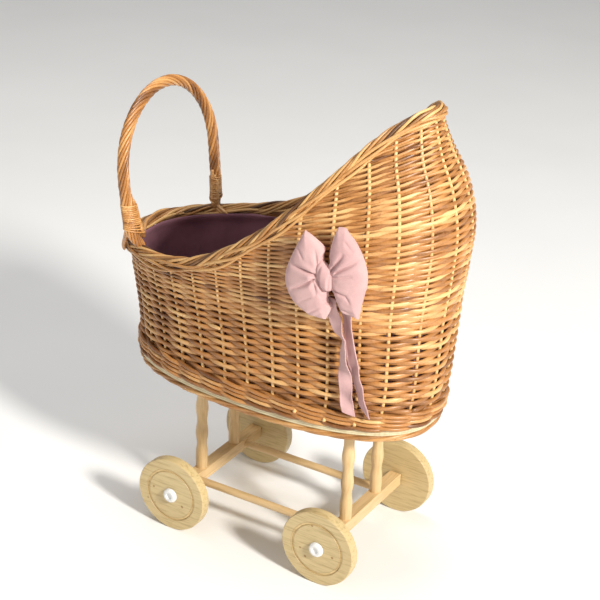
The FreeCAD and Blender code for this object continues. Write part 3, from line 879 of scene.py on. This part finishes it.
lining_inner = plan_point(angles, lining_z, lining_out - SKIN + hem)
points, faces = shell(lining_outer, lining_inner, True)
lining_side = dress(make_object("lining_side", points, faces), shaded_lining_cotton)
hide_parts("lining")
floor_share = np.linspace(0.02, 1, 14)[:, None, None]
edge = plan_point(lining_angle[::3], LINING_FLOOR, LINING_OUT - 0.6)
middle = edge.mean(0)
floor_top = middle + (edge - middle)[None] * floor_share
lower_floor = floor_top - np.array([0, 0, 0.35])
points, faces = shell(floor_top + np.array([0, 0, 0.5]), lower_floor, True)
lining_floor = dress(make_object("lining_floor", points, faces), shaded_lining_cotton)


PUFF_FRAMES = 20


def pillow_points(edge, top_lift, rings, crown):
    """Grid from an outline to its middle, lifted by a crowned profile."""
    centre = edge.mean(0)
    share = np.linspace(0.0, 1.0, rings)[:, None]
    flat = centre + (edge - centre)[None] * (1 - share[..., None])
    lift = top_lift * (1 - (1 - share) ** crown) ** (1 / crown)
    return flat, np.broadcast_to(lift, flat.shape[:2])


def puff(made, voxel, pressure, cap, held_r=None):
    """Blows a closed form up as cloth with air in it; no point moves further than cap."""
    bpy.context.view_layer.objects.active = made
    made.select_set(True)
    made.data.remesh_voxel_size = voxel * MM
    bpy.ops.object.voxel_remesh()
    start = np.array([v.co for v in made.data.vertices])
    cloth = made.modifiers.new("cloth", "CLOTH")
    settings = cloth.settings
    settings.quality = 6
    settings.mass = 0.15
    settings.tension_stiffness = 12
    settings.compression_stiffness = 12
    settings.bending_stiffness = 0.4
    settings.use_pressure = True
    settings.uniform_pressure_force = pressure
    settings.effector_weights.gravity = 0
    cloth.point_cache.frame_start = 1
    cloth.point_cache.frame_end = PUFF_FRAMES
    if held_r is not None:
        group = made.vertex_groups.new(name="hold")
        held = np.flatnonzero(np.hypot(start[:, 0], start[:, 2]) < held_r * MM)
        group.add(held.tolist(), 1.0, "REPLACE")
        settings.vertex_group_mass = "hold"
    scene = bpy.context.scene
    for step in range(1, PUFF_FRAMES + 1):
        scene.frame_set(step)
    seen = made.evaluated_get(bpy.context.evaluated_depsgraph_get())
    blown = np.array([v.co for v in seen.data.vertices])
    made.modifiers.remove(cloth)
    scene.frame_set(1)
    move = blown - start
    length = np.linalg.norm(move, axis=1, keepdims=True)
    move *= np.minimum(1, cap * MM / np.maximum(length, 1e-9))
    made.data.vertices.foreach_set("co", (start + move).astype(np.float32).ravel())
    made.vertex_groups.clear()
    made.select_set(False)
    made.data.update()
    return made


def reshape(made, change):
    """Moves a mesh's points by a function of their places in millimetres."""
    points = np.array([v.co for v in made.data.vertices]) / MM
    made.data.vertices.foreach_set("co", (change(points) * MM).astype(np.float32).ravel())
    made.data.polygons.foreach_set("use_smooth", np.ones(len(made.data.polygons), bool))
    made.data.update()


def subdivide(made):
    bpy.context.view_layer.objects.active = made
    made.select_set(True)
    smoother = made.modifiers.new("smoother", "SUBSURF")
    smoother.levels = 1
    smoother.render_levels = 1
    bpy.ops.object.modifier_apply(modifier="smoother")
    made.select_set(False)


pad_edge = plan_point(lining_angle[::3], MATTRESS_BOTTOM + MATTRESS_T / 2, -(WALL_HALF + 7.5))
flat, lift = pillow_points(pad_edge, MATTRESS_T / 2 - 1.5, 16, 2.6)
upper = flat + UP * lift[..., None]
lower = flat - UP * (lift * 0.9)[..., None]
pad = make_object("mattress_pad", *shell(upper, lower, True, pillow=True))
puff(pad, 4.5, 3.0, 4.0)


def mattress_shape(points):
    """Keeps the pad in its space, flat below, with shallow quilted dimples."""
    shaped = points.copy()
    low = MATTRESS_BOTTOM + 0.4
    high = MATTRESS_BOTTOM + MATTRESS_T - 0.2
    middle_z = (low + high) / 2
    shaped[:, 2] = np.clip(shaped[:, 2], low, high + 1.5)
    above = shaped[:, 2] > middle_z
    for x in range(-140, 141, 70):
        for y in (-40, 40):
            away = np.hypot(points[:, 0] - x - 35 * (y > 0), points[:, 1] - y)
            shaped[above, 2] -= 3.2 * np.exp(-(away[above] / 9) ** 2)
    return shaped


reshape(pad, mattress_shape)
subdivide(pad)
dress(pad, shaded_lining_cotton)
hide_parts("mattress")

# ---------------------------------------------------------------- bow
BOW_ALONG = np.array([math.cos(BOW_TURN), math.sin(BOW_TURN), 0.0])
BOW_OUT = np.array([math.sin(BOW_TURN), -math.cos(BOW_TURN), 0.0])
# outline of each loop: along the wall and up from the knot; a repeated corner is a sharp one
LOOPS = {
    "bow_loop_foot_side": (
        (-1, 8), (-4, 15), (-4.5, 24), (-4.5, 31.5), (-14.5, 40), (-26.5, 47), (-28.5, 47), (-37, 29),
        (-44.5, 10), (-48.5, -6), (-47, -21), (-38, -38), (-22, -51), (-20, -52), (-3, -54), (-1, -54),
        (5.5, -41), (6, -39), (2, -30), (2.5, -20), (0, -8)),
    "bow_loop_head_side": (
        (2, 8), (4, 18), (3.5, 28), (6, 42), (11, 57), (13, 58.5), (20.5, 58.5), (22, 57), (32.5, 44),
        (41.5, 27), (46.5, 10), (47, -4), (43, -25), (39.5, -45), (38, -46), (30, -43), (21, -41),
        (15, -31), (10, -19), (4, -8)),
}
# creases: from and to, along and up from the knot, then depth
CREASES = {
    "bow_loop_foot_side": (
        (-10, 2.5, -41, 10, 4.6), (-13, -4, -40, -21.5, 4.4), (-9, 12, -13, 32, 2.0),
        (-3, -9, 1, -24, 2.2), (-12, -8, -8, -22, 2.0), (-20, -49, -3, -37, 1.5),
        (-14, -52, 2, -42, 1.4), (-27, 20, -34, 30, 1.2), (-16, -26, -30, -36, 1.0)),
    "bow_loop_head_side": (
        (8, 10, 21, 34, 4.0), (14, 9.5, 38.5, 28, 4.0), (11, 4, 33, 7.5, 2.2),
        (11.5, -13, 26, -18, 3.2), (26, -18, 31, -27, 1.6), (6, -3, 14, -32, 1.8),
        (16, -32, 34, -42, 1.6), (24, -36, 38, -40, 1.2), (22, 46, 32, 36, 1.0)),
}
LOOP_FRONT = 15.0          # how far a loop stands off its seam, in front and behind
LOOP_BACK = 8.5
LOOP_OUT = {"bow_loop_foot_side": -4.5, "bow_loop_head_side": -3.5}
BLOWN_SHRINK = 0.04        # a flat form draws its edge in as it fills
HELD_R = 11.0              # the loop's cloth is held this near to the knot while it fills
OUTLINE_POINTS = 160


def closed_outline(corners, count):
    """Smooth closed line through corners."""
    corners = np.array(corners, float)
    return curve(corners, -1, np.arange(count) * len(corners) / count)


def crease_depth(name, along, up):
    """Depth of the folds at places on a loop, and the swell of the cloth beside them."""
    depth = np.zeros_like(along)
    for a0, u0, a1, u1, deep in CREASES[name]:
        length = math.hypot(a1 - a0, u1 - u0)
        run = ((along - a0) * (a1 - a0) + (up - u0) * (u1 - u0)) / length
        off = ((along - a0) * (u1 - u0) - (up - u0) * (a1 - a0)) / length
        off = off + 0.5 * np.sin(run * 0.16 + a0)
        share = np.clip(run / length, 0, 1)
        past = np.maximum(np.maximum(-run, run - length), 0)
        fade = (1 - share) ** 0.45 * np.exp(-(past / 2.2) ** 2) * (0.75 + 0.25 * np.clip(share * 6, 0, 1))
        wide = 1.15 + 0.04 * np.clip(run, 0, length)
        depth += deep * fade * (np.exp(-(off / wide) ** 2)
                                - 0.32 * np.exp(-((np.abs(off) - 3.0 * wide) / (2.0 * wide)) ** 2))
    return depth


def crease(name, points):
    """Folds that run out from the knot, then the loop is set on the wall."""
    along, away, up = points[:, 0], points[:, 1], points[:, 2]
    depth = crease_depth(name, along, up)
    thick = np.clip(-away / LOOP_FRONT, 0, 1)
    away = np.where(away < 0, away + depth * thick ** 0.6, away)
    away = np.clip(away, -LOOP_FRONT - 2, LOOP_BACK)
    return (KNOT + BOW_ALONG * along[:, None] + UP * up[:, None]
            + BOW_OUT * (LOOP_OUT[name] - away)[:, None])


for name, corners in LOOPS.items():
    line = closed_outline(corners, OUTLINE_POINTS)
    middle = line.mean(0)
    line = middle + (line - middle) * (1 + BLOWN_SHRINK)
    outline = np.stack([line[:, 0], np.zeros(OUTLINE_POINTS), line[:, 1]], -1)
    flat, lift = pillow_points(outline, 1.0, 16, 2.6)
    away = np.hypot(flat[..., 0], flat[..., 2])
    pinch = 0.78 + 0.22 * np.clip(away / 16, 0, 1) ** 0.8
    front = flat.copy()
    back = flat.copy()
    front[..., 1] = -(LOOP_FRONT - 2.5) * lift * pinch
    back[..., 1] = (LOOP_BACK - 1.0) * lift * pinch
    loop = make_object(name + "_cloth", *shell(front, back, True, pillow=True))
    puff(loop, 1.7, 4.5, 3.5, held_r=HELD_R)
    subdivide(loop)
    reshape(loop, lambda points: crease(name, points))
    dress(loop, bow_cotton)
    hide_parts(name)

# knot: a band of cloth wound round the middle, with its folds
KNOT_WIDTH = 9.2
KNOT_DEPTH = 9.4
KNOT_HEIGHT = 15.6         # half of it, as the others
turn_steps = 84
T, H = np.meshgrid(np.linspace(0, TURN, turn_steps, endpoint=False), np.linspace(-1, 1, 46))
round_off = (1 - np.abs(H) ** 4.0 * 0.86) ** 0.5
width = (KNOT_WIDTH + 1.8 * H) * round_off
deep = KNOT_DEPTH * round_off
folds = np.zeros_like(T)
for place, lean, depth in ((-2.35, 0.5, 1.1), (-0.85, 0.45, 0.9), (0.9, 0.2, 1.0)):
    off = (T - place - lean * H + math.pi) % TURN - math.pi
    folds -= depth * (np.exp(-(off / 0.15) ** 2) - 0.4 * np.exp(-((np.abs(off) - 0.36) / 0.2) ** 2))
folds *= np.clip(1.25 - H ** 2, 0, 1)
grid = (KNOT + BOW_ALONG * ((width + folds) * np.cos(T) + 3.4 * H ** 2 * 0.4 - 2.6 * H)[..., None]
        - BOW_OUT * ((deep + folds) * np.sin(T) - 2.0)[..., None]
        + UP * (KNOT_HEIGHT * H - 3.6 * np.cos(T) * np.clip(H, 0, 1))[..., None])
caps = [grid[0].mean(0), grid[-1].mean(0)]
shrink = (0.97, 0.6, 0.3)
grid = np.stack([*(grid[0] * (1 - s) + caps[0] * s for s in shrink), *grid,
                 *(grid[-1] * (1 - s) + caps[1] * s for s in shrink[::-1])])
ends = np.array([[k, turn_steps - 1 - k, turn_steps - 2 - k, k + 1] for k in range(turn_steps // 2 - 1)])
faces = np.concatenate([grid_faces(len(grid), turn_steps, True)[:, ::-1], ends[:, ::-1],
                        ends + (len(grid) - 1) * turn_steps])
knot = make_object("bow_knot_band", grid.reshape(-1, 3), faces)
dress(knot, bow_cotton)
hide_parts("bow_knot")

# tails: twisted ribbons with sewn edges; width, then angle round the basket, height, twist, way off
TAILS = {
    "bow_tail_foot_side": (16.0, (
        (1.086, 397, 25, 9.5), (1.084, 383, 20, 9), (1.058, 367, 12, 8.5), (1.036, 351, 38, 9),
        (1.008, 343, 62, 9.5), (1.002, 334, 64, 9.5), (1.002, 318, 56, 9), (0.995, 301, 22, 8.5),
        (0.986, 283, -8, 8), (0.978, 266, 12, 7.5), (0.962, 250, -10, 7), (0.944, 240, -16, 7))),
    "bow_tail_head_side": (14.5, (
        (1.03, 397, 30, 4.5), (1.006, 383, 34, 4.5), (0.984, 367, 40, 4.5), (0.972, 343, 44, 4.5),
        (0.95, 317, 22, 4.5), (0.926, 300, 38, 4.5), (0.904, 283, 46, 4.5), (0.874, 266, 50, 4.5),
        (0.84, 250, 52, 4.5), (0.816, 241, 50, 4.5))),
}
for name, (wide, course) in TAILS.items():
    rows = 110
    across = 21
    course = through(course, rows)
    s = np.linspace(-1, 1, across)[None, :]
    t = np.linspace(0, 1, rows)[:, None]
    angle = np.broadcast_to(-course[:, :1], (rows, across))
    z = np.broadcast_to(course[:, 1:2], (rows, across))
    twist = np.radians(course[:, 2:3] + 0 * s)
    centre, normal = plan_normal(angle, z)
    side = np.stack([-normal[..., 1], normal[..., 0], np.zeros((rows, across))], -1)
    narrow = 0.7 + 0.3 * np.clip(t * 6, 0, 1)
    half = s * wide / 2 * narrow
    # the cloth curls a little across and its edges wave
    curl = 1.1 * np.cos(t * 21 + 1.3) * (s ** 2 - 0.4) + 0.7 * s * np.sin(t * 34)
    level = half * np.cos(twist) - curl * np.sin(twist)
    lift = half * np.sin(twist) + curl * np.cos(twist)
    slant = -3.2 * s * t ** 8
    face = unit(normal * np.cos(twist)[..., None] - side * np.sin(twist)[..., None])
    hem = 0.45 * np.exp(-((np.abs(s) - 0.9) / 0.07) ** 2)
    out = np.maximum(WALL_HALF + course[:, 3:4] + lift, WALL_HALF + 2.2)
    middle = centre + normal * out[..., None] + side * level[..., None] + UP * slant[..., None]
    front = middle + face * (0.45 + hem)[..., None]
    back = middle - face * (0.45 + hem)[..., None]
    points, faces = shell(front, back, False)
    tail = dress(make_object(name + "_ribbon", points, faces), bow_cotton)
    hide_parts(name)

# ---------------------------------------------------------------- floor, light and camera
floor_mesh = bpy.data.meshes.new("floor")
floor_mesh.from_pydata([(-6, -6, 0), (6, -6, 0), (6, 6, 0), (-6, 6, 0)], [], [(0, 1, 2, 3)])
floor = bpy.data.objects.new("floor", floor_mesh)
bpy.context.scene.collection.objects.link(floor)
look = Look("pale_floor")
cloud = look.ramp(look.noise(3.0, 2.0), (0.3, (0.9, 0.9, 0.9)), (0.7, (0.93, 0.93, 0.93)))
floor_mesh.materials.append(look.feed(look.shader, {"Base Color": cloud, "Roughness": 0.9}))

world = bpy.data.worlds.new("studio")
world.use_nodes = True
background = next(n for n in world.node_tree.nodes if n.type == "BACKGROUND")
background.inputs["Color"].default_value = (1.0, 1.0, 1.0, 1)
background.inputs["Strength"].default_value = 0.27
bpy.context.scene.world = world


LIT_POINT = Vector((0, 0, 0.3))


def area_light(name, place, size, power, colour):
    data = bpy.data.lights.new(name, "AREA")
    data.shape = "DISK"
    data.size = size
    data.energy = power
    data.color = colour
    lamp = bpy.data.objects.new(name, data)
    bpy.context.scene.collection.objects.link(lamp)
    place = Vector(place)
    lamp.location = place
    lamp.rotation_euler = (LIT_POINT - place).to_track_quat("-Z", "Y").to_euler()


# name, place, size, power and colour; lengths in metres
for lamp in (("key", (2.75, -1.0, 1.95), 0.5, 152, (1.0, 0.965, 0.9)),
             ("top", (-0.5, 0.3, 3.0), 2.0, 36, (1.0, 0.99, 0.97)),
             ("fill", (-1.4, -2.6, 1.2), 1.6, 9, (1.0, 0.98, 0.95))):
    area_light(*lamp)
bpy.context.scene.view_settings.view_transform = "Standard"

camera_data = bpy.data.cameras.new("camera")
camera_data.sensor_width = 36.0
camera_data.lens = 98.22
camera_data.clip_start = 0.05
camera_data.clip_end = 50.0
camera = bpy.data.objects.new("camera", camera_data)
bpy.context.scene.collection.objects.link(camera)
# the photo's camera, as fitted to it, in metres
AZIMUTH = math.radians(30.51)
ELEVATION = math.radians(25.35)
ROLL = math.radians(2.11)
AIM = Vector((0, 0, 0.25))
AWAY, TO_RIGHT, TO_TOP = 2.04788, 0.00971, 0.05863
back = Vector((math.sin(AZIMUTH) * math.cos(ELEVATION), -math.cos(AZIMUTH) * math.cos(ELEVATION),
               math.sin(ELEVATION)))
level_right = Vector((math.cos(AZIMUTH), math.sin(AZIMUTH), 0))
level_up = back.cross(level_right)
right = level_right * math.cos(ROLL) + level_up * math.sin(ROLL)
up = level_up * math.cos(ROLL) - level_right * math.sin(ROLL)
place = AIM + back * AWAY + right * TO_RIGHT + up * TO_TOP
turned = Matrix((right, up, back)).transposed().to_4x4()
camera.matrix_world = Matrix.Translation(place) @ turned
bpy.context.scene.camera = camera
